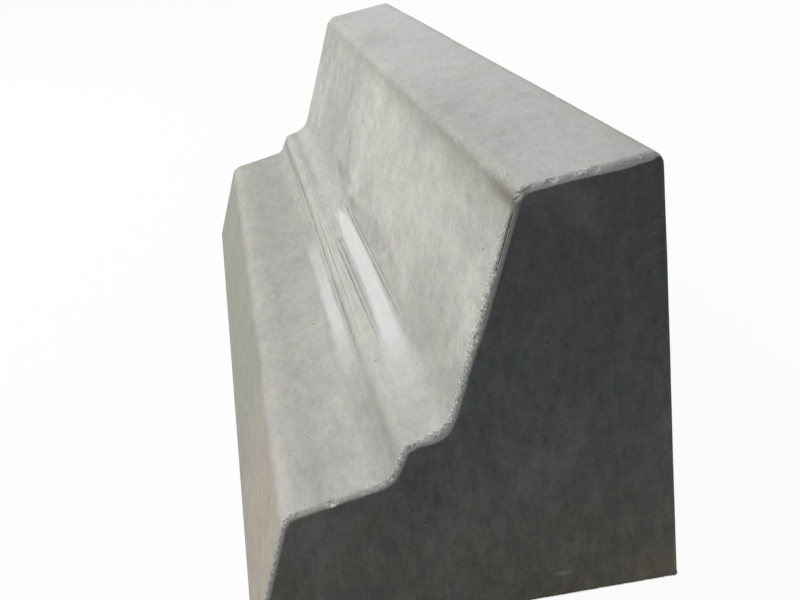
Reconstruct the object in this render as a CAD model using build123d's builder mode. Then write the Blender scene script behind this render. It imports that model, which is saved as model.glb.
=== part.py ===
from build123d import *
import os

os.makedirs("parts", exist_ok=True)

# A precast concrete kerb unit of the tall, stepped kind that holds wheels back.
# It lies along X with its road side at -Y, and its origin is at the middle of its base.

# Overall size
length = 1000.0
width = 365.0
height = 380.0

# Back, which leans a little towards the road so that the mould strips
back_lean = 12.0

# Top, which falls towards the road
top_width = 112.0
top_fall = 14.0

# Foot of the upper face: how far it lies from the back's foot, and its height above the base
face_foot_reach = 188.0
face_foot_height = 175.0

# Ledge at the foot of the upper face, and the short riser in front of it
ledge_width = 35.0
ledge_fall = 9.0
riser_run = 14.0
riser_drop = 29.0

# Toe, the lowest face, which ends the tread
toe_height = 120.0
toe_run = 40.0

# Rounding of the long edges
back_top_radius = 12.0
front_top_radius = 18.0
face_foot_radius = 34.0
ledge_radius = 11.0
riser_foot_radius = 18.0
toe_top_radius = 18.0

# Rounding round the outline of each end, all but along the base
end_radius = 6.0

# Section through the stone, as (Y, Z) corners from the back's foot round to the toe
back = width / 2
face_foot = back - face_foot_reach
ledge_edge = face_foot - ledge_width
ledge_height = face_foot_height - ledge_fall
back_top = (back - back_lean, height)
front_top = (back - back_lean - top_width, height - top_fall)
toe_top = (back - width + toe_run, toe_height)
section_corners = [
    (back, 0),
    back_top,
    front_top,
    (face_foot, face_foot_height),
    (ledge_edge, ledge_height),
    (ledge_edge - riser_run, ledge_height - riser_drop),
    toe_top,
    (back - width, 0),
]
corner_radii = [
    0,
    back_top_radius,
    front_top_radius,
    face_foot_radius,
    ledge_radius,
    riser_foot_radius,
    toe_top_radius,
    0,
]

# The stone is one casting: its section drawn out along the length, with the ends' outline rounded
with BuildPart() as kerb_stone:
    with BuildSketch(Plane.YZ) as section:
        with BuildLine():
            Polyline(*section_corners, close=True)
        make_face()
        for corner, radius in zip(section_corners, corner_radii):
            if radius > 0:
                fillet(section.vertices().sort_by_distance(corner)[0], radius)
    extrude(amount=length / 2, both=True)

    end_faces = kerb_stone.faces().filter_by(Plane.YZ)
    base_face = kerb_stone.faces().sort_by(Axis.Z)[0]
    fillet(end_faces.edges() - base_face.edges(), end_radius)

kerb_stone.part.label = "kerb_stone"
export_step(kerb_stone.part, "parts/kerb_stone.step")
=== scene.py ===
import math

import bpy
import numpy as np
from mathutils import Matrix, Vector, noise


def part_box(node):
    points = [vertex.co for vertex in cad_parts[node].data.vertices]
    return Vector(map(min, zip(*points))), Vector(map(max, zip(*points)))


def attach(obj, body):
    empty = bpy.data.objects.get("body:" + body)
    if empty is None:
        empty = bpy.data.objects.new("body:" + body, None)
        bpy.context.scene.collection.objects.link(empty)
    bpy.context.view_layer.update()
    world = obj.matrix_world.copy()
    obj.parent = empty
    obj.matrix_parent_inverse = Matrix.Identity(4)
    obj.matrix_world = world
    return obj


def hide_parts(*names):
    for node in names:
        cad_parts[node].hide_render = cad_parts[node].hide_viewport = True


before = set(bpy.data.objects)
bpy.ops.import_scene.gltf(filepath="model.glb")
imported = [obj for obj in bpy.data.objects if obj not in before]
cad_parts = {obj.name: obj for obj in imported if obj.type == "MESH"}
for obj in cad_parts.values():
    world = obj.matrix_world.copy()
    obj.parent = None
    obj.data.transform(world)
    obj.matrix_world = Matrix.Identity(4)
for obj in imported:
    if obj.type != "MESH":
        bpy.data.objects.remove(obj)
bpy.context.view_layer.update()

# The camera
# It stands off the near end on the road side, close and a little above the top, and is tipped. The
# photograph is cut from a larger one, so its middle isn't the lens's, and the lens is shifted.
picture_width = 800
picture_height = 600
lens_middle_across = 290
lens_middle_down = 180
focal_length_pixels = 920.1
sensor_width = 36.0
camera_place = Vector((1.1124, -0.1394, 0.5907))
camera_azimuth = math.radians(86.62)
camera_elevation = math.radians(17.54)
camera_roll = math.radians(-7.29)

camera_back = Vector((
    math.sin(camera_azimuth) * math.cos(camera_elevation),
    -math.cos(camera_azimuth) * math.cos(camera_elevation),
    math.sin(camera_elevation),
))
level_right = Vector((0, 0, 1)).cross(camera_back).normalized()
level_up = camera_back.cross(level_right)
camera_right = level_right * math.cos(camera_roll) + level_up * math.sin(camera_roll)
camera_up = level_up * math.cos(camera_roll) - level_right * math.sin(camera_roll)

lens = bpy.data.cameras.new("camera")
lens.sensor_width = sensor_width
lens.lens = focal_length_pixels / picture_width * sensor_width
lens.shift_x = (picture_width / 2 - lens_middle_across) / picture_width
lens.shift_y = (lens_middle_down - picture_height / 2) / picture_width
camera = bpy.data.objects.new("camera", lens)
camera_turn = Matrix((camera_right, camera_up, camera_back)).transposed()
camera.matrix_world = Matrix.Translation(camera_place) @ camera_turn.to_4x4()
bpy.context.scene.collection.objects.link(camera)
bpy.context.scene.camera = camera

# The outline of the section
# The stone is cast in a steel mould whose plates give one section from end to end: a leaning back,
# a top that falls to the road, the sloping upper face, a ledge, a short riser, the tread and the toe.
stone_low, stone_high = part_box("kerb_stone")
half_length = stone_high.x
back_foot = stone_high.y
toe_foot = stone_low.y
# Corners of the section before they are rounded, as (across, height), from the back's foot to the toe's
outline_corners = np.array([
    (back_foot, 0.0),
    (0.1705, 0.380),
    (0.0585, 0.366),
    (-0.0055, 0.175),
    (-0.0405, 0.166),
    (-0.0545, 0.137),
    (-0.1425, 0.120),
    (toe_foot, 0.0),
])
corner_radii = [0, 0.012, 0.018, 0.034, 0.011, 0.018, 0.018, 0]
run_names = ["back", "top", "face", "ledge", "riser", "tread", "toe"]


def outline_runs():
    """The straight runs and the arcs between them, in order, each with its length along the outline."""
    runs = []
    start = outline_corners[0]
    for i, name in enumerate(run_names):
        way = outline_corners[i + 1] - outline_corners[i]
        way = way / np.hypot(*way)
        outward = np.array([way[1], -way[0]])
        if i + 1 == len(run_names):
            end = outline_corners[i + 1]
        else:
            onward = outline_corners[i + 2] - outline_corners[i + 1]
            turn = math.atan2(way[0] * onward[1] - way[1] * onward[0], way @ onward)
            radius = corner_radii[i + 1]
            end = outline_corners[i + 1] - way * radius * math.tan(abs(turn) / 2)
        runs.append({
            "name": name, "start": start, "way": way, "outward": outward,
            "length": math.dist(start, end),
        })
        if i + 1 < len(run_names):
            side = math.copysign(1, turn)
            centre = end - outward * radius * side
            first = math.atan2(*(outward * side)[::-1])
            runs.append({
                "name": name + "_edge", "centre": centre, "radius": radius, "side": side,
                "first": first, "turn": turn, "length": radius * abs(turn),
            })
            last = first + turn
            start = centre + radius * np.array([math.cos(last), math.sin(last)])
    return runs


runs = outline_runs()
run_ends = np.cumsum([0] + [run["length"] for run in runs])
girth_length = run_ends[-1]
girth_of = {run["name"]: (run_ends[i], run_ends[i + 1]) for i, run in enumerate(runs)}


def on_outline(girth):
    """Places and outward normals on the outline, at distances round it from the back's foot."""
    places = np.zeros((len(girth), 2))
    normals = np.zeros((len(girth), 2))
    which = np.clip(np.searchsorted(run_ends, girth, side="right") - 1, 0, len(runs) - 1)
    for i, run in enumerate(runs):
        here = which == i
        along = (girth[here] - run_ends[i])[:, None]
        if "centre" in run:
            angle = run["first"] + run["turn"] * along / run["length"]
            spoke = np.hstack([np.cos(angle), np.sin(angle)])
            places[here] = run["centre"] + spoke * run["radius"]
            normals[here] = spoke * run["side"]
        else:
            places[here] = run["start"] + run["way"] * along
            normals[here] = run["outward"]
    return places, normals


# The stone
# One casting of dense, fair-faced concrete. Its mesh is rings of points along the length, close
# together at the arrises, and every point is then pressed inward where the real face has sunk or broken.
end_radius = 0.006
arris_step = 0.0014

# Creases: where they lie round the outline at mid-length, how they lean along the stone, where they
# start and end along it, and how deep they are
creases = [
    {"girth": 0.6765, "lean": 0.0010, "from": -0.06, "to": 0.36, "depth": 0.00050},
    {"girth": 0.6720, "lean": 0.0010, "from": -0.02, "to": 0.30, "depth": 0.00035},
    {"girth": 0.7035, "lean": -0.0040, "from": 0.02, "to": 0.34, "depth": 0.00045},
    {"girth": 0.7085, "lean": -0.0080, "from": 0.05, "to": 0.36, "depth": 0.00050},
    {"girth": 0.7190, "lean": 0.0100, "from": -0.10, "to": 0.30, "depth": 0.00030},
    {"girth": 0.7305, "lean": 0.0130, "from": -0.30, "to": 0.36, "depth": 0.00070},
]


def crowded_stations(length, spacing):
    """Stations from 0 to length whose gaps follow spacing, a function of the place."""
    samples = 20001
    place = np.linspace(0, length, samples)
    count = np.concatenate([[0], np.cumsum(np.diff(place) / spacing(place[1:]))])
    return np.interp(np.linspace(0, count[-1], round(count[-1]) + 1), count, place)


def outline_spacing(girth):
    """Gap between points round the outline: small in the arcs and at the creases, and larger between."""
    flat_gap = 0.008
    arc_gap, arc_growth = 0.0021, 0.10
    crease_gap, crease_growth, crease_reach = 0.0008, 0.35, 0.0015
    gap = np.full(len(girth), flat_gap)
    for name, (first, last) in girth_of.items():
        if name.endswith("_edge"):
            away = np.clip(np.maximum(first - girth, girth - last), 0, None)
            gap = np.minimum(gap, arc_gap + arc_growth * away)
    for crease in creases:
        middle = crease["girth"] + crease["lean"] * 0.5 * (crease["from"] + crease["to"])
        reach = crease_reach + abs(crease["lean"]) * 0.5 * (crease["to"] - crease["from"])
        away = np.clip(np.abs(girth - middle) - reach, 0, None)
        gap = np.minimum(gap, crease_gap + crease_growth * away)
    return gap


# Stations round the outline, and a finer set for the rings near the ends that keeps the coarse ones
coarse_girth = crowded_stations(girth_length, outline_spacing)
coarse_to_fine = [0]
fine_girth = [0.0]
for first, last in zip(coarse_girth, coarse_girth[1:]):
    parts = math.ceil((last - first) / arris_step)
    fine_girth += [first + (last - first) * (i + 1) / parts for i in range(parts)]
    coarse_to_fine.append(len(fine_girth) - 1)
fine_girth = np.array(fine_girth)
base_parts = 20
base_fine_parts = 160

# The place on the end towards which its rings shrink
end_middle = np.array([0.060, 0.120])


def ring(x, turn, shrink, fine):
    """One closed loop of the mesh: at x, turned from the side towards the end, shrunk within the end."""
    side = math.copysign(1, x)
    girth = fine_girth if fine else coarse_girth
    places, normals = on_outline(girth)
    places = places - normals * end_radius * (1 - math.cos(turn))

    # The back and the toe slide along themselves, so that their feet stay on the base
    up_back = 1 - girth / runs[0]["length"]
    up_toe = 1 - (girth_length - girth) / runs[-1]["length"]
    for foot, run, near_foot in ((0, runs[0], up_back), (-1, runs[-1], up_toe)):
        slide = run["way"] * (-places[foot][1] / run["way"][1])
        places = places + np.clip(near_foot, 0, 1)[:, None] * slide

    parts = base_fine_parts if fine else base_parts
    base_places = np.linspace(places[-1], places[0], parts + 1)[1:-1]
    no_girth = np.full(len(base_places), -1.0)
    loop = np.vstack([places, base_places])
    loop = end_middle + (loop - end_middle) * shrink
    facing = np.zeros((len(loop), 3))
    facing[:len(girth), 0] = math.sin(turn) * side
    facing[:len(girth), 1:] = normals * math.cos(turn)
    facing[len(girth):, 2] = -1
    if turn == math.pi / 2:
        facing[:] = (side, 0, 0)
    within = np.hypot(*(loop - end_middle).T) * (1 / shrink - 1)
    before_round = (half_length - end_radius - abs(x)) * (turn == 0)
    return {
        "points": np.column_stack([np.full(len(loop), x), loop]),
        "facing": facing,
        "girth": np.concatenate([girth, no_girth]),
        "from_arris": within + end_radius * abs(turn - math.pi / 4) + before_round,
        "turned": end_radius * turn + within - before_round,
        "fine": fine,
    }


arris_zone = 0.012
body_length = 2 * (half_length - end_radius - arris_zone)


def along_spacing(place):
    """Gap between rings along the body: small beside the arris zones, and larger between them."""
    small_gap, large_gap = 0.0016, 0.0056
    away = np.minimum(place, body_length - place)
    return np.clip(small_gap + 0.28 * (away - 0.004), small_gap, large_gap)


# Rings over the flat of the end, then round its arris, and then along the stone in the arris zone
square_on = math.pi / 2
end_rings = [ring(half_length, square_on, shrink, False) for shrink in np.linspace(0.10, 0.94, 11)]
end_rings += [
    ring(half_length, square_on, shrink, True)
    for shrink in (0.955, 0.966, 0.976, 0.985, 0.993, 1.0)
]
end_rings += [
    ring(half_length - end_radius * (1 - math.sin(turn)), turn, 1.0, True)
    for turn in np.linspace(square_on, 0, 10)[1:]
]
end_rings += [
    ring(x, 0.0, 1.0, True)
    for x in np.linspace(half_length - end_radius, half_length - end_radius - arris_zone, 9)[1:]
]


def mirrored(one):
    """The same loop at the other end."""
    other = {name: value.copy() if isinstance(value, np.ndarray) else value for name, value in one.items()}
    other["points"][:, 0] *= -1
    other["facing"][:, 0] *= -1
    return other


body_rings = [
    ring(body_length / 2 - place, 0.0, 1.0, False)
    for place in crowded_stations(body_length, along_spacing)[1:-1]
]
rings = end_rings + body_rings + [mirrored(one) for one in reversed(end_rings)]
points = np.vstack([one["points"] for one in rings])
facing = np.vstack([one["facing"] for one in rings])
girth = np.concatenate([one["girth"] for one in rings])
from_arris = np.concatenate([one["from_arris"] for one in rings])
turned = np.concatenate([one["turned"] for one in rings])


def noise_at(places, size, octaves=1, seed=0.0):
    """Smooth noise from about -1 to 1 whose lumps are of that size in metres."""
    shift = Vector((seed, seed, seed))
    if octaves == 1:
        return np.array([noise.noise(Vector(place / size) + shift) for place in places])
    fading, finer = 0.8, 2.0
    return np.array([
        noise.fractal(Vector(place / size) + shift, fading, finer, octaves) for place in places
    ])


def ramp(value, low, high):
    """0 below low, 1 above high, and a smooth rise between."""
    part = np.clip((value - low) / (high - low), 0, 1)
    return part * part * (3 - 2 * part)


# Faces hang a few tenths of a millimetre hollow between the mould's ribs
wide_sag = 0.00035
small_sag = 0.00015
sunk = wide_sag * (1 + noise_at(points, 0.16, seed=3.0))
sunk += small_sag * (1 + noise_at(points, 0.045, seed=9.0))

# The end arrises are crumbled where the top, the face and the steps meet the end, and crisp at the back
crumble_reach = 0.0050
crumble_zone = 0.018
crispness = 0.85
at_back = 1 - ramp(girth, girth_of["back"][1] - 0.010, girth_of["back_edge"][1])
near_arris = np.exp(-(from_arris / crumble_reach) ** 2) * (1 - crispness * at_back)
close = from_arris < crumble_zone
crumble = np.zeros(len(points))
crumble[close] = (
    0.0002 * (1 + noise_at(points[close], 0.020, seed=21.0))
    + 0.0005 * ramp(noise_at(points[close], 0.0070, 2, seed=5.0), 0.25, 0.80)
    + 0.0005 * ramp(noise_at(points[close], 0.0026, seed=13.0), 0.10, 0.60)
)
crumble *= near_arris

# Larger chips: place on the stone, reach and depth
chips = [
    ((0.500, -0.1030, 0.1280), 0.005, 0.0018),
    ((0.500, 0.0560, 0.3640), 0.009, 0.0024),
    ((0.500, 0.0850, 0.3690), 0.006, 0.0014),
    ((0.500, 0.1180, 0.3730), 0.006, 0.0012),
    ((0.500, -0.0370, 0.1660), 0.005, 0.0012),
    ((0.500, 0.0200, 0.2520), 0.005, 0.0012),
    ((-0.500, 0.0570, 0.3640), 0.009, 0.0026),
    ((-0.500, -0.1420, 0.1190), 0.008, 0.0022),
    ((-0.500, 0.1680, 0.3400), 0.007, 0.0018),
    ((-0.500, 0.1810, 0.0050), 0.010, 0.0024),
    ((0.120, 0.0600, 0.3650), 0.006, 0.0012),
    ((-0.260, 0.0600, 0.3650), 0.007, 0.0014),
    ((0.300, 0.1690, 0.3790), 0.007, 0.0014),
    ((-0.080, 0.1690, 0.3790), 0.008, 0.0016),
]
bitten = np.zeros(len(points))
for place, reach, depth in chips:
    away = np.linalg.norm(points - np.array(place), axis=1)
    near = away < 2 * reach
    wobble = 0.35 * noise_at(points[near], reach * 0.55, seed=depth * 1e4)
    bitten[near] = np.maximum(bitten[near], depth * ramp(1 + wobble - away[near] / reach, 0.0, 0.55))

# A fine crack with a weaker one beside it, along the near arris: over the front corner of the top and
# a little way down the face
crack_depth = 0.0014
main_crack = np.clip(1 - np.abs(turned - 0.0050) / 0.0009, 0, 1)
side_crack = 0.6 * np.clip(1 - np.abs(turned - 0.0070) / 0.0008, 0, 1)
at_near_end = half_length - points[:, 0] < 0.1
cracked = np.maximum(main_crack, side_crack) * at_near_end
face_start = girth_of["face"][0]
down_face = ramp(girth, face_start + 0.004, face_start + 0.010)
down_face *= 1 - ramp(girth, face_start + 0.046, face_start + 0.060)
corner_start = girth_of["top_edge"][0]
over_corner = ramp(girth, corner_start - 0.002, corner_start + 0.003)
over_corner *= 1 - ramp(girth, corner_start + 0.009, corner_start + 0.014)
cracked *= np.maximum(down_face, over_corner)

# Creases that the mould's folded plates leave along the ledge and the riser
crease_half_width = 0.0007
creased = np.zeros(len(points))
for crease in creases:
    aside = girth - crease["girth"] - crease["lean"] * points[:, 0]
    groove = np.exp(-(aside / crease_half_width) ** 2)
    inside = ramp(points[:, 0], crease["from"], crease["from"] + 0.10)
    inside *= ramp(-points[:, 0], -crease["to"], 0.12 - crease["to"])
    creased += crease["depth"] * groove * inside

# The end's base edge is ragged where the mould leaked, but the stone still stands flat
leak_depth = 0.0007
leak_reach = 0.003
from_base = points[:, 2]
on_end = np.abs(facing[:, 0]) > 0.99
ragged = np.where(on_end, leak_depth * np.exp(-(from_base / leak_reach) ** 2), 0)
ragged[on_end] *= 0.5 * (1 + noise_at(points[on_end], 0.006, 2, seed=31.0))

at_base = from_base < 1e-6
pressed = sunk + crumble + bitten + creased + ragged + crack_depth * cracked
pressed[at_base & ~on_end] = 0
moved = points - facing * pressed[:, None]
moved[at_base, 2] = 0

# Two more values at each point for the material: how broken the stone is, and how near a long arris
broken = np.clip((crumble + bitten) / 0.0009, 0, 1)
long_arrises = np.zeros(len(points))
for name, reach in (("back_edge", 0.006), ("top_edge", 0.005)):
    middle = 0.5 * (girth_of[name][0] + girth_of[name][1])
    long_arrises = np.maximum(long_arrises, np.exp(-((girth - middle) / reach) ** 2))
arris = long_arrises * (np.abs(facing[:, 0]) < 0.5)

# Faces between one ring and the next, with several fine points to a face where a fine ring meets a
# coarse one, and a face that closes each end
starts = np.cumsum([0] + [len(one["points"]) for one in rings])
coarse_count = len(coarse_girth) + base_parts - 1
fine_count = len(fine_girth) + base_fine_parts - 1
coarse_to_fine += [
    len(fine_girth) - 1 + (i + 1) * base_fine_parts // base_parts for i in range(base_parts - 1)
]
faces = [list(range(coarse_count))]
for i in range(len(rings) - 1):
    here, there = starts[i], starts[i + 1]
    if rings[i]["fine"] == rings[i + 1]["fine"]:
        count = len(rings[i]["points"])
        for j in range(count):
            k = (j + 1) % count
            faces.append([here + j, there + j, there + k, here + k])
    else:
        for j in range(coarse_count):
            k = (j + 1) % coarse_count
            first = coarse_to_fine[j]
            last = coarse_to_fine[k] if k else fine_count
            between = [m % fine_count for m in range(first, last + 1)]
            if rings[i]["fine"]:
                faces.append([there + j, there + k] + [here + m for m in reversed(between)])
            else:
                faces.append([there + m for m in between] + [here + k, here + j])
faces.append([starts[-2] + j for j in reversed(range(coarse_count))])

mesh = bpy.data.meshes.new("kerb_concrete")
mesh.from_pydata(moved.tolist(), [], faces)
mesh.polygons.foreach_set("use_smooth", [True] * len(mesh.polygons))
mesh.set_sharp_from_angle(angle=math.radians(55))
point_values = {"girth": girth, "turned": turned, "broken": broken, "arris": arris, "crack": cracked}
for name, values in point_values.items():
    mesh.attributes.new(name, "FLOAT", "POINT").data.foreach_set("value", values)
mesh.validate()
stone = bpy.data.objects.new("kerb_concrete", mesh)
bpy.context.scene.collection.objects.link(stone)


class Signal:
    """One socket of a material's nodes. Sums on it add the nodes that work them out."""

    def __init__(self, tree, socket=None):
        self.tree = tree
        self.socket = socket

    def node(self, kind, settings=None, inputs=None, out=0):
        """Adds a node: its settings first, then the values or links of its sockets."""
        made = self.tree.nodes.new("ShaderNode" + kind)
        for name, value in (settings or {}).items():
            if name == "stops":
                elements = made.color_ramp.elements
                while len(elements) < len(value):
                    elements.new(0.5)
                for element, (place, colour) in zip(elements, value):
                    element.position = place
                    element.color = (*colour, 1)
            else:
                setattr(made, name, value)
        for name, value in (inputs or {}).items():
            if isinstance(value, Signal):
                self.tree.links.new(value.socket, made.inputs[name])
            elif value is not None:
                made.inputs[name].default_value = value
        return Signal(self.tree, made.outputs[out])

    def output(self, name):
        """Another output of the same node."""
        return Signal(self.tree, self.socket.node.outputs[name])

    def math(self, operation, *values):
        """A Math node on numbers or signals."""
        return self.node("Math", {"operation": operation}, dict(enumerate(values)))

    def __add__(self, other):
        return self.math("ADD", self, other)

    __radd__ = __add__

    def __sub__(self, other):
        return self.math("SUBTRACT", self, other)

    def __rsub__(self, other):
        return self.math("SUBTRACT", other, self)

    def __mul__(self, other):
        return self.math("MULTIPLY", self, other)

    __rmul__ = __mul__

    def __truediv__(self, other):
        return self.math("DIVIDE", self, other)

    def __pow__(self, other):
        return self.math("POWER", self, other)

    def __abs__(self):
        return self.math("ABSOLUTE", self)

    def rise(self, low, high):
        """0 below low, 1 above high, and a smooth rise between."""
        return self.node(
            "MapRange",
            {"interpolation_type": "SMOOTHSTEP"},
            {"Value": self, "From Min": low, "From Max": high, "To Min": 0.0, "To Max": 1.0},
        )

    def hump(self, middle, reach):
        """1 at the middle, falling smoothly to 0 at the reach on both sides."""
        return 1 - abs(self - middle).rise(0.0, reach)

    def mixed(self, colour, amount, blend="MIX"):
        """This colour with another laid over it."""
        other = colour if isinstance(colour, Signal) else (*colour, 1)
        factor, first_colour, second_colour, colour_result = 0, 6, 7, 2
        return self.node(
            "Mix",
            {"data_type": "RGBA", "blend_type": blend},
            {factor: amount, first_colour: self, second_colour: other},
            out=colour_result,
        )

    def times(self, amount):
        """This colour made darker or lighter by a signal."""
        grey = self.node("CombineColor", {}, {"Red": amount, "Green": amount, "Blue": amount})
        return self.mixed(grey, 1.0, "MULTIPLY")

    def shown_by(self, kind):
        """Links this shader to a new output node of its material or world."""
        output = self.tree.nodes.new("ShaderNode" + kind)
        self.tree.links.new(self.socket, output.inputs["Surface"])


# The concrete
# Fair-faced grey concrete: fine sand shows all over, water has run down the faces, the hollows of the
# ledge and the riser are polished to a blue white that carries a painted sky sheen, and both ends carry
# the dark skin of the mould oil, deepened with painted shade.
concrete = bpy.data.materials.new("kerb_concrete")
concrete.use_nodes = True
concrete.node_tree.nodes.clear()
shade = Signal(concrete.node_tree)
place = shade.node("TexCoord").output("Object")
along, across, height = (
    shade.node("SeparateXYZ", {}, {"Vector": place}).output(axis) for axis in "XYZ"
)
girth_round, turned_round, broken_edge, arris_line, crack_line = (
    shade.node("Attribute", {"attribute_name": name}).output("Fac") for name in point_values
)

# Noise that follows the faces is laid out along the stone and round its section, upright or slanting.
# Places along the stone are in metres from its middle, and places round it from the back's foot
down_faces = shade.node("CombineXYZ", {}, {"X": along, "Y": girth_round, "Z": across * 0.3})
slanted_along = along - 0.65 * girth_round
slanting = shade.node("CombineXYZ", {}, {"X": slanted_along, "Y": girth_round, "Z": across * 0.3})


def lumps(size, detail=2.0, roughness=0.5, stretch=(1, 1, 1), seed=0.0, on=place):
    """Noise about 0.5 whose lumps are of that size in metres, stretched along the axes."""
    squeeze = tuple(1 / s for s in stretch)
    spread = shade.node("Mapping", {}, {"Vector": on, "Location": (seed, seed, seed), "Scale": squeeze})
    return shade.node(
        "TexNoise", {}, {"Vector": spread, "Scale": 1 / size, "Detail": detail, "Roughness": roughness}
    )


def girth_at(run, part):
    """Distance round the outline at a part, 0 to 1, of a run or an arc."""
    first, last = girth_of[run]
    return first + (last - first) * part


# Colours round the section, from the back's foot over the top to the toe's foot: far end, near end. The
# top's front arris has a painted highlight over a band of painted shade, the riser's foot has painted
# shade, and the tread's arris has a painted highlight
section_colours = [
    (girth_at("back", 0.00), (0.330, 0.315, 0.275), (0.330, 0.315, 0.275)),
    (girth_at("back", 0.12), (0.400, 0.392, 0.360), (0.400, 0.392, 0.360)),
    (girth_at("back", 0.90), (0.440, 0.435, 0.412), (0.440, 0.435, 0.412)),
    (girth_at("back_edge", 0.6), (0.500, 0.495, 0.470), (0.455, 0.440, 0.410)),
    (girth_at("top", 0.15), (0.505, 0.508, 0.496), (0.440, 0.440, 0.430)),
    (girth_at("top", 0.50), (0.505, 0.508, 0.496), (0.462, 0.464, 0.452)),
    (girth_at("top", 0.95), (0.505, 0.507, 0.495), (0.430, 0.431, 0.419)),
    (girth_at("top_edge", 0.20), (0.478, 0.474, 0.448), (0.412, 0.405, 0.376)),
    (girth_at("top_edge", 0.60), (0.455, 0.448, 0.414), (0.402, 0.392, 0.358)),
    (girth_at("top_edge", 0.85), (0.405, 0.398, 0.358), (0.300, 0.291, 0.247)),
    (girth_at("face", 0.03), (0.420, 0.412, 0.375), (0.368, 0.359, 0.309)),
    (girth_at("face", 0.11), (0.440, 0.432, 0.398), (0.420, 0.412, 0.370)),
    (girth_at("face", 0.20), (0.422, 0.413, 0.392), (0.480, 0.474, 0.440)),
    (girth_at("face", 0.55), (0.430, 0.419, 0.397), (0.518, 0.512, 0.472)),
    (girth_at("face", 0.90), (0.440, 0.430, 0.405), (0.394, 0.388, 0.354)),
    (girth_at("face_edge", 0.15), (0.440, 0.430, 0.408), (0.400, 0.394, 0.365)),
    (girth_at("face_edge", 0.80), (0.470, 0.465, 0.440), (0.488, 0.482, 0.454)),
    (girth_at("ledge", 0.60), (0.460, 0.455, 0.430), (0.498, 0.490, 0.462)),
    (girth_at("riser", 0.60), (0.450, 0.440, 0.410), (0.462, 0.452, 0.415)),
    (girth_at("riser_edge", 0.40), (0.385, 0.380, 0.352), (0.340, 0.335, 0.308)),
    (girth_at("tread", 0.10), (0.358, 0.354, 0.327), (0.498, 0.491, 0.460)),
    (girth_at("tread", 0.70), (0.346, 0.341, 0.314), (0.390, 0.386, 0.363)),
    (girth_at("tread_edge", 0.50), (0.440, 0.430, 0.392), (0.476, 0.462, 0.420)),
    (girth_at("toe", 0.06), (0.325, 0.322, 0.278), (0.403, 0.366, 0.306)),
    (girth_at("toe", 0.55), (0.296, 0.298, 0.250), (0.395, 0.348, 0.282)),
    (girth_at("toe", 1.00), (0.302, 0.288, 0.244), (0.362, 0.325, 0.272)),
]
far_colour, near_colour = (
    shade.node(
        "ValToRGB",
        {"stops": [(row[0] / girth_length, row[end]) for row in section_colours]},
        {"Fac": girth_round / girth_length},
    )
    for end in (1, 2)
)
colour = far_colour.mixed(near_colour, along.rise(-0.32, 0.50))
below_foot_start = girth_round.rise(girth_at("face", 0.85), girth_at("face_edge", 0.30))
upper_face = girth_round.rise(girth_at("face", 0.0), girth_at("face", 0.15)) * (1 - below_foot_start)
on_top = girth_round.rise(*girth_of["back_edge"]) * (1 - girth_round.rise(*girth_of["top_edge"]))
on_toe = girth_round.rise(*girth_of["tread_edge"])

# Lime bloom in cream clouds, cooler clouds between them, and water's streaks down the slopes
bloom = lumps(0.085, 3.0, 0.55, seed=2.0)
hue = lumps(0.024, 2.0, 0.60, stretch=(1.5, 1, 1), seed=57.0)
mottle = lumps(0.012, 3.0, 0.62, stretch=(1.8, 1, 1), seed=5.0)
patch = lumps(0.0048, 2.0, 0.65, stretch=(1.8, 1, 1), seed=25.0)
sand = lumps(0.0016, 1.0, 0.60, stretch=(1.8, 1, 1), seed=8.0)
streaks = lumps(0.0045, 3.0, 0.65, stretch=(1.4, 4.5, 1), seed=4.0, on=slanting)
fine_streaks = lumps(0.0022, 1.0, 0.65, stretch=(1.3, 5, 1), seed=14.0, on=slanting)
lime_cream = (0.600, 0.590, 0.528)
cloud_grey = (0.400, 0.392, 0.395)
top_blue_grey = (0.450, 0.462, 0.485)
warm_patch = (0.470, 0.463, 0.392)
cool_patch = (0.414, 0.418, 0.430)
toe_green_grey = (0.318, 0.325, 0.272)
lime = 0.35 * bloom.rise(0.46, 0.66) + 0.56 * along.hump(0.12, 0.34)
colour = colour.mixed(lime_cream, lime * upper_face)
colour = colour.mixed(cloud_grey, 0.40 * (1 - bloom.rise(0.30, 0.46)))
colour = colour.mixed(top_blue_grey, 0.26 * on_top * bloom.rise(0.48, 0.66))
colour = colour.mixed(warm_patch, 0.26 * hue.rise(0.50, 0.66))
colour = colour.mixed(cool_patch, 0.22 * (1 - hue.rise(0.34, 0.50)))
near_toe = (along + 0.10 * (bloom - 0.5)).rise(0.20, 0.38)
colour = colour.mixed(toe_green_grey, 0.70 * on_toe * (1 - near_toe))
tone = 1.01 + 0.30 * (bloom - 0.5) + (0.42 - 0.14 * on_top) * (mottle - 0.5)
tone = tone + 0.27 * (patch - 0.5) + 0.12 * (sand - 0.5)
tone = tone + (streaks - 0.5) * (0.28 * upper_face + 0.07 * on_toe)
tone = tone + (fine_streaks - 0.5) * (0.14 * upper_face + 0.05 * on_toe)
colour = colour.times(tone)

# Specks of dark and of pale sand
dark_sand = (0.215, 0.208, 0.190)
pale_sand = (0.680, 0.675, 0.640)
speck = lumps(0.0032, 2.0, 0.70, seed=51.0)
colour = colour.mixed(dark_sand, 0.55 * speck.rise(0.660, 0.720))
colour = colour.mixed(pale_sand, 0.45 * (1 - speck.rise(0.285, 0.345)))


def stain_at(place_along, place_round, long, wide):
    """A soft stain on the outline, with a ragged edge."""
    aside = (along - place_along) / long
    above = (girth_round - place_round) / wide
    return 1 - ((aside * aside + above * above) ** 0.5 + 0.9 * (mottle - 0.5)).rise(0.20, 1.0)
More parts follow.
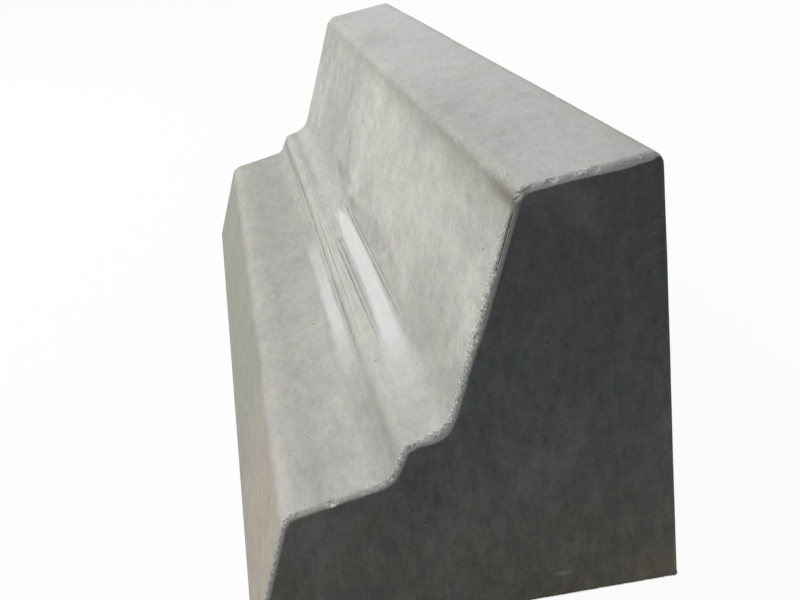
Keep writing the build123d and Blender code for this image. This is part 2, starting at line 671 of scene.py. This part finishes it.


# Grey blotches where water stands at the foot of the upper face, and painted shade under its front arris
wet_grey = (0.270, 0.268, 0.235)
blotch_blue_grey = (0.330, 0.335, 0.345)
arris_shade_olive = (0.165, 0.158, 0.128)
dark_stains = (
    stain_at(-0.119, 0.651, 0.045, 0.017)
    + 0.8 * stain_at(-0.064, 0.645, 0.050, 0.015)
    + stain_at(0.002, 0.663, 0.048, 0.013)
    + 0.5 * stain_at(0.060, 0.655, 0.040, 0.012)
)
cool_stains = stain_at(0.150, 0.649, 0.100, 0.030) + 0.5 * stain_at(0.240, 0.648, 0.055, 0.016)
colour = colour.mixed(wet_grey, (0.60 * dark_stains).rise(0.0, 1.0))
colour = colour.mixed(blotch_blue_grey, (0.60 * cool_stains).rise(0.0, 1.0))
under_arris_shade = girth_round.hump(0.4955, 0.0100) * along.rise(0.425, 0.475)
colour = colour.mixed(arris_shade_olive, 0.78 * under_arris_shade)

# The hollows of the ledge and the riser: darker and lighter bands drawn out along the stone, and a
# rubbed cream run down the riser
riser_cream = (0.556, 0.550, 0.485)
drawn = lumps(0.0034, 3.0, 0.65, stretch=(14, 1, 1), seed=61.0, on=down_faces)
wear_break = lumps(0.013, 3.0, 0.70, stretch=(5, 1, 1), seed=6.0, on=down_faces)
in_hollows = girth_round.rise(0.655, 0.680) * (1 - girth_round.rise(0.752, 0.775))
in_hollows = in_hollows * (1 - 0.7 * along.rise(0.26, 0.42))
colour = colour.times(1 + 0.44 * in_hollows * (drawn - 0.5))
riser_run = girth_round.rise(0.706, 0.714) * (1 - girth_round.rise(0.726, 0.734))
riser_run = riser_run * along.rise(-0.15, 0.05) * (1 - along.rise(0.24, 0.40))
colour = colour.mixed(riser_cream, 0.58 * riser_run * (0.45 + 0.55 * drawn.rise(0.36, 0.56)))

# The polished stripe on the ledge, partly a painted sky sheen, whose start and end are ragged
ledge_middle = 0.6885 + 0.0075 * along.rise(0.16, 0.44)
ledge_aside = abs(girth_round - ledge_middle) + 0.0065 * (wear_break - 0.5)
ledge_aside = ledge_aside - 0.0036 * along.rise(-0.05, 0.06)
ledge_aside = ledge_aside + 0.0040 * (1 - along.rise(-0.06, 0.02))
ledge_spread = 0.0075 + 0.0060 * along.rise(0.24, 0.40)
ledge_start = (along + 0.09 * (wear_break - 0.5)).rise(-0.055, -0.015)
ledge_end = (along + 0.12 * (mottle - 0.5)).rise(0.29, 0.42)
ledge_stripe = (1 - ledge_aside.rise(0.0028, ledge_spread)) * ledge_start * (1 - 0.90 * ledge_end)

# The polished stripe on the tread, beside the riser's foot, partly a painted sky sheen, which starts and
# ends softly
tread_middle = 0.7488
tread_aside = abs(girth_round - tread_middle) + 0.0075 * (wear_break - 0.5)
tread_spread = 0.0110 + 0.0060 * along.rise(0.16, 0.32)
tread_start = 0.55 * along.rise(-0.05, 0.03) + 0.45 * along.rise(0.06, 0.17)
tread_end = along.rise(0.20, 0.38)
tread_stripe = (1 - tread_aside.rise(0.0048, tread_spread)) * tread_start * (1 - tread_end)

# Both stripes are a blue white of polish with a painted sky sheen on it, and creamier where the polish is
# broken
polished_sheen_white = (0.676, 0.708, 0.700)
worn_cream = (0.630, 0.628, 0.582)
wear_and_sheen = (ledge_stripe + 0.86 * tread_stripe) * (0.76 + 0.24 * wear_break.rise(0.38, 0.56))
colour = colour.mixed(polished_sheen_white, (0.78 + 0.34 * (hue - 0.5)) * wear_and_sheen)
colour = colour.mixed(worn_cream, 0.60 * wear_and_sheen * (1 - wear_break.rise(0.40, 0.54)))

# Painted shade in the bottom of the hollows, at both ends of the stripes
near_hollow_shade = (0.250, 0.248, 0.218)
far_hollow_shade = (0.215, 0.212, 0.185)
towards_near = 0.45 * along.rise(0.10, 0.20) + 0.55 * along.rise(0.32, 0.44)
near_hollow = girth_round.hump(0.7350, 0.0105) * towards_near
colour = colour.mixed(near_hollow_shade, 0.55 * near_hollow)
far_hollow = girth_round.hump(0.7300, 0.0115) * (1 - along.rise(-0.34, 0.05))
far_hollow = far_hollow + 0.42 * girth_round.hump(0.7045, 0.0095) * (1 - along.rise(-0.30, 0.02))
colour = colour.mixed(far_hollow_shade, 0.64 * far_hollow)

# The mould's creases: a dark line of painted shade with a painted highlight beside it
crease_shade_line = (0.200, 0.193, 0.170)
crease_highlight_line = (0.640, 0.630, 0.585)
for crease in creases:
    aside = girth_round - crease["girth"] - crease["lean"] * along + 0.0012 * (wear_break - 0.5)
    started = along.rise(crease["from"], crease["from"] + 0.06)
    ended = along.rise(crease["to"] - 0.12, crease["to"])
    shown = started * (1 - ended) * (0.35 + 0.65 * drawn.rise(0.38, 0.58))
    wide = 3.6 * crease["depth"]
    colour = colour.mixed(crease_shade_line, 0.78 * shown * aside.hump(0.0, wide + 0.0004))
    colour = colour.mixed(crease_highlight_line, 0.58 * shown * aside.hump(wide + 0.0014, 0.0021))

# Where the dark of the ends, its skin and painted shade, starts and is full, as distances round the end's
# arris. It reaches further round at the back, and stops further in at the upper face, where its slow start
# is painted shade over the round
skin_and_shade_edge = lumps(0.0030, 3.0, 0.65, seed=7.0)
below_top = girth_round.rise(girth_at("top_edge", 0.1), girth_at("top_edge", 0.9))
on_front = below_top * (1 - girth_round.rise(girth_at("face", 0.50), girth_at("face", 0.80)))
behind = 1 - girth_round.rise(girth_at("back_edge", 0.2), girth_at("back_edge", 0.9))
skin_and_shade_start = 0.0086 - 0.0028 * below_top - 0.0002 * on_front - 0.0076 * behind
skin_and_shade_full = 0.0102 - 0.0018 * below_top + 0.0032 * on_front - 0.0077 * behind
bulge = 0.0018 * girth_round.hump(0.4050, 0.0450) + 0.0030 * girth_round.hump(0.6900, 0.0200)
skin_and_shade = (turned_round - bulge + 0.0016 * (skin_and_shade_edge - 0.5)).rise(skin_and_shade_start, skin_and_shade_full)

# The dark of the ends, skin deepened with painted shade: browner and paler towards the base as painted
# light thrown up from the ground, bluer towards the top as painted sky light, and paler at the back's foot
skin_and_bounce_heights = [
    (0.00, (0.175, 0.155, 0.125)),
    (0.06, (0.150, 0.142, 0.122)),
    (0.25, (0.128, 0.128, 0.119)),
    (0.50, (0.098, 0.108, 0.106)),
    (1.00, (0.076, 0.081, 0.089)),
]
skin_bloom = (0.170, 0.176, 0.172)
skin_blue = (0.090, 0.104, 0.116)
skin_brown = (0.132, 0.128, 0.098)
corner_tan = (0.310, 0.268, 0.212)
end_clouds = lumps(0.060, 3.0, 0.60, stretch=(1, 1, 1.4), seed=11.0)
end_mottle = lumps(0.011, 3.0, 0.65, stretch=(1, 1, 1.8), seed=19.0)
end_drips = lumps(0.0040, 1.0, 0.60, stretch=(1, 1, 7), seed=41.0)
end_courses = lumps(0.0035, 1.0, 0.60, stretch=(1, 9, 1), seed=43.0)
end_skin_and_shade = shade.node("ValToRGB", {"stops": skin_and_bounce_heights}, {"Fac": height / stone_high.z})
end_skin_and_shade = end_skin_and_shade.mixed(skin_bloom, 0.32 * bloom.rise(0.46, 0.66))
end_skin_and_shade = end_skin_and_shade.mixed(skin_blue, 0.26 * hue.rise(0.52, 0.66))
end_skin_and_shade = end_skin_and_shade.mixed(skin_brown, 0.26 * (1 - hue.rise(0.34, 0.48)))
back_corner = across.rise(0.110, 0.180) * (1 - height.rise(0.004, 0.050)) * mottle.rise(0.25, 0.60)
end_skin_and_shade = end_skin_and_shade.mixed(corner_tan, 0.55 * back_corner)
skin_tone = 0.96 + 0.56 * (end_clouds - 0.5) + 0.92 * (end_mottle - 0.5)
skin_tone = skin_tone + 0.48 * (sand - 0.5) + 0.46 * (patch - 0.5)
skin_tone = skin_tone + 0.24 * (end_drips - 0.5) + 0.16 * (end_courses - 0.5)
end_skin_and_shade = end_skin_and_shade.times(skin_tone)


def from_mark(mark_across, mark_height, wide=1.0):
    """Distance on the end from a mark, with the mark drawn out sideways."""
    aside = (across - mark_across) / wide
    above = height - mark_height
    return (aside * aside + above * above) ** 0.5


def round_marks(middles, full, gone):
    """Small round marks on the near end, full to one distance from their middles and gone at another."""
    return near_end * sum((1 - from_mark(*middle).rise(full, gone) for middle in middles), 0.0)


# A pale rubbed spot near the base of the near end, small pits round it, and two pinholes, the pits and
# pinholes blackened with painted shade
rubbed_pale = (0.420, 0.410, 0.380)
pit_shade_black = (0.020, 0.020, 0.020)
near_end = along.rise(0.49, 0.50)
spot_shape = 1 - from_mark(0.0825, 0.0220, 3.2).rise(0.0008, 0.0036)
rubbed_spot = near_end * spot_shape * mottle.rise(0.30, 0.60)
end_skin_and_shade = end_skin_and_shade.mixed(rubbed_pale, 0.60 * rubbed_spot)
pits = round_marks([(0.0067, 0.0459), (0.0136, 0.0202), (-0.1202, 0.0430)], 0.0007, 0.0017)
pinholes = round_marks([(0.0764, 0.2380), (-0.0297, 0.0945)], 0.0005, 0.0014)
end_skin_and_shade = end_skin_and_shade.mixed(pit_shade_black, 0.90 * pinholes + 0.45 * pits)

# Burst bubbles in a band beside the end's back edge, their holes darkened with painted shade
bubble_size = 0.0040
bubble_rim = (0.235, 0.240, 0.240)
bubble_hole_shade = (0.030, 0.030, 0.030)
back_slope = 0.0316
back_aside = back_foot - back_slope * height - across
beside_back = back_aside.rise(0.0005, 0.0030) * (1 - back_aside.rise(0.009, 0.020))
bubble_patches = lumps(0.018, 2.0, 0.6, stretch=(1, 1, 1.8), seed=67.0).rise(0.38, 0.54)
bubbly = skin_and_shade * beside_back * bubble_patches
bubble = shade.node("TexVoronoi", {}, {"Vector": place, "Scale": 1 / bubble_size})
rim = bubbly * bubble.hump(0.30, 0.13)
bubble_hole = bubbly * (1 - bubble.rise(0.10, 0.24))
end_skin_and_shade = end_skin_and_shade.mixed(bubble_rim, 0.42 * rim)
end_skin_and_shade = end_skin_and_shade.mixed(bubble_hole_shade, 0.55 * bubble_hole)
colour = colour.mixed(end_skin_and_shade, skin_and_shade)

# The round of the end is greyer below the top: painted shade where the round faces away from the lamp,
# bluish on the steps and darker on the upper face
round_shade_grey = (0.335, 0.345, 0.362)
front_round_shade_grey = (0.250, 0.262, 0.270)
broken_pale = (0.455, 0.445, 0.410)
on_ledge = girth_round.rise(girth_at("face_edge", 0.55), girth_at("ledge", 0.0))
on_ledge = on_ledge * (1 - girth_round.rise(girth_at("ledge", 0.8), girth_at("ledge_edge", 0.7)))
on_tread = girth_round.rise(girth_at("riser_edge", 0.4), girth_at("tread", 0.0))
on_tread = on_tread * (1 - girth_round.rise(girth_at("tread", 0.97), girth_at("tread_edge", 0.5)))
level = on_ledge + on_tread
on_round = (turned_round + 0.0030 * on_toe).rise(-0.0010, 0.0040)
low_round_shade = below_top * (1 - on_front) * (1 - 0.80 * level) * on_round * (1 - skin_and_shade)
front_round_shade = on_front * turned_round.rise(0.0020, 0.0060) * (1 - skin_and_shade)
colour = colour.mixed(round_shade_grey, 0.64 * low_round_shade)
colour = colour.mixed(front_round_shade_grey, 0.62 * front_round_shade)
colour = colour.mixed(broken_pale, 0.40 * broken_edge.rise(0.3, 1.0))

# Crumbs on the arrises: pale broken sand grains and painted shade in the pits between them. They are
# thickest down the upper face's near arris and at a few spots on the top's, and thinner on the steps
crumb = lumps(0.0019, 2.0, 0.70, seed=37.0)
cluster = lumps(0.030, 2.0, 0.6, seed=33.0).rise(0.50, 0.62)
front_run = girth_round.rise(0.500, 0.545) * (1 - girth_round.rise(0.610, 0.670))
step_run = girth_round.rise(0.615, 0.655) * (1 - girth_round.rise(0.745, 0.775))
toe_corner = girth_round.hump(0.8370, 0.0150)
corner_spot = girth_round.hump(0.4860, 0.0120)
top_spots = girth_round.hump(0.4600, 0.0110) + girth_round.hump(0.4360, 0.0130)
top_spots = top_spots + 0.4 * girth_round.hump(0.3930, 0.0060)
top_crumbs = turned_round.hump(0.0045, 0.0065) * top_spots
end_crumbs = turned_round.hump(0.0020, 0.0070) * (0.70 * toe_corner + 0.24)
end_crumbs = end_crumbs + turned_round.hump(0.0030, 0.0078) * (0.50 * step_run + 0.34 * on_toe)
end_crumbs = end_crumbs + turned_round.hump(0.0005, 0.0105) * 1.05 * front_run
end_crumbs = end_crumbs + top_crumbs + turned_round.hump(0.0040, 0.0080) * corner_spot
crumbly = (end_crumbs + 0.8 * arris_line.rise(0.25, 0.80) * cluster).rise(0.15, 0.75)
crumb_pale = (0.780, 0.775, 0.745)
crumb_pit_shade = (0.110, 0.106, 0.095)
crumb_start = 0.550 - 0.05 * top_crumbs
pale_crumbs = crumbly * crumb.rise(crumb_start, crumb_start + 0.075)
shaded_crumb_pits = 0.80 * (crumbly - 0.70 * top_crumbs) * (1 - crumb.rise(0.360, 0.430))
colour = colour.mixed(crumb_pale, 0.90 * pale_crumbs)
colour = colour.mixed(crumb_pit_shade, shaded_crumb_pits)

# The crack is a dark line of painted shade with a light lip beside it on the face
crack_lip = (0.520, 0.510, 0.480)
crack_shade = (0.030, 0.028, 0.025)
lip_run = girth_round.rise(0.500, 0.506) * (1 - girth_round.rise(0.540, 0.556)) * along.rise(0.0, 0.1)
colour = colour.mixed(crack_lip, 0.50 * turned_round.hump(0.0061, 0.0009) * lip_run)
colour = colour.mixed(crack_shade, 0.96 * crack_line.rise(0.25, 0.80))

# One pale chip on the tread's near arris
chip_pale = (0.820, 0.800, 0.750)
tread_chip = turned_round.hump(0.0050, 0.0042) * girth_round.hump(0.7985, 0.0085) * crumb.rise(0.40, 0.52)
colour = colour.mixed(chip_pale, 0.85 * tread_chip.rise(0.10, 0.45))

# Blowholes that air left against the mould, of two sizes, darkened with painted shade
wide_cells = shade.node("TexVoronoi", {}, {"Vector": place, "Scale": 1 / 0.045})
small_cells = shade.node("TexVoronoi", {}, {"Vector": place, "Scale": 1 / 0.016})
hole = 1 - wide_cells.rise(0.020, 0.036)
pinhole = 1 - small_cells.rise(0.028, 0.050)
colour = colour.times(1 - 0.60 * hole - 0.35 * pinhole)

# Relief too fine for the mesh: sand, grain, streaks, specks, holes, crumbs and the bubbles' rims
grain = lumps(0.0007, 3.0, 0.75, seed=15.0)
relief_height = (
    sand * 0.50 + grain * 0.25 + mottle * 0.28 + streaks * 0.16 * upper_face
    - hole * 0.9 - pinhole * 0.5 - speck.rise(0.66, 0.74) * 0.5 + crumbly * crumb * 2.2
    + rim * 0.7 - bubble_hole * 0.8
)
relief = shade.node("Bump", {}, {"Strength": 0.45, "Distance": 0.0012, "Height": relief_height})
surface = shade.node(
    "BsdfPrincipled",
    {},
    {"Base Color": colour, "Roughness": 0.86 - 0.20 * wear_and_sheen, "Normal": relief, "IOR": 1.45},
)
surface.shown_by("OutputMaterial")
mesh.materials.append(concrete)
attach(stone, "root")
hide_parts("kerb_stone")

# The floor
# A plain pale studio floor, not part of the stone. The camera sees it as white with a soft shadow,
# and what it throws back on the stone is that of a mid-grey floor.
floor_half_width = 30.0
floor_corners = [
    (-floor_half_width, -floor_half_width, 0),
    (floor_half_width, -floor_half_width, 0),
    (floor_half_width, floor_half_width, 0),
    (-floor_half_width, floor_half_width, 0),
]
floor_mesh = bpy.data.meshes.new("floor")
floor_mesh.from_pydata(floor_corners, [], [(0, 1, 2, 3)])
floor = bpy.data.objects.new("floor", floor_mesh)
bpy.context.scene.collection.objects.link(floor)


def seen_by_camera(sheet):
    """1 for the rays that the camera sees, straight or by way of a shiny or clear surface."""
    rays = sheet.node("LightPath")
    return rays.output("Is Camera Ray") + rays.output("Is Glossy Ray") + rays.output("Is Transmission Ray")


floor_paint = bpy.data.materials.new("floor_paint")
floor_paint.use_nodes = True
floor_paint.node_tree.nodes.clear()
paint = Signal(floor_paint.node_tree)
white_share = 0.94
pale = paint.node("BsdfDiffuse", {}, {"Color": (0.9, 0.9, 0.9, 1)})
white = paint.node("Emission", {}, {"Color": (1, 1, 1, 1), "Strength": 1.0})
near_white = paint.node("MixShader", {}, {0: white_share, 1: pale, 2: white})
mid_grey = paint.node("BsdfDiffuse", {}, {"Color": (0.35, 0.35, 0.35, 1)})
both = paint.node("MixShader", {}, {0: seen_by_camera(paint), 1: mid_grey, 2: near_white})
both.shown_by("OutputMaterial")
floor_mesh.materials.append(floor_paint)

# The light
# An even white studio and one large soft lamp, high on the road side and past the far end, so that
# the near end stays in its own shade as in the photograph.
world = bpy.data.worlds.new("studio")
world.use_nodes = True
world.node_tree.nodes.clear()
sky = Signal(world.node_tree)
studio_strength = 0.45
dim = sky.node("Background", {}, {"Color": (1, 1, 1, 1), "Strength": studio_strength})
bright = sky.node("Background", {}, {"Color": (1, 1, 1, 1), "Strength": 1.0})
studio = sky.node("MixShader", {}, {0: seen_by_camera(sky), 1: dim, 2: bright})
studio.shown_by("OutputWorld")
bpy.context.scene.world = world

key_way = Vector((-0.30, -0.65, 0.70)).normalized()
key_away = 4.0
key_aim = Vector((0, 0, 0.2))
key = bpy.data.lights.new("key", "AREA")
key.shape = "DISK"
key.size = 3.0
key.energy = 126.0
key_lamp = bpy.data.objects.new("key", key)
key_lamp.location = key_way * key_away + key_aim
key_lamp.rotation_euler = key_way.to_track_quat("Z", "Y").to_euler()
bpy.context.scene.collection.objects.link(key_lamp)

bpy.context.scene.view_settings.view_transform = "Standard"
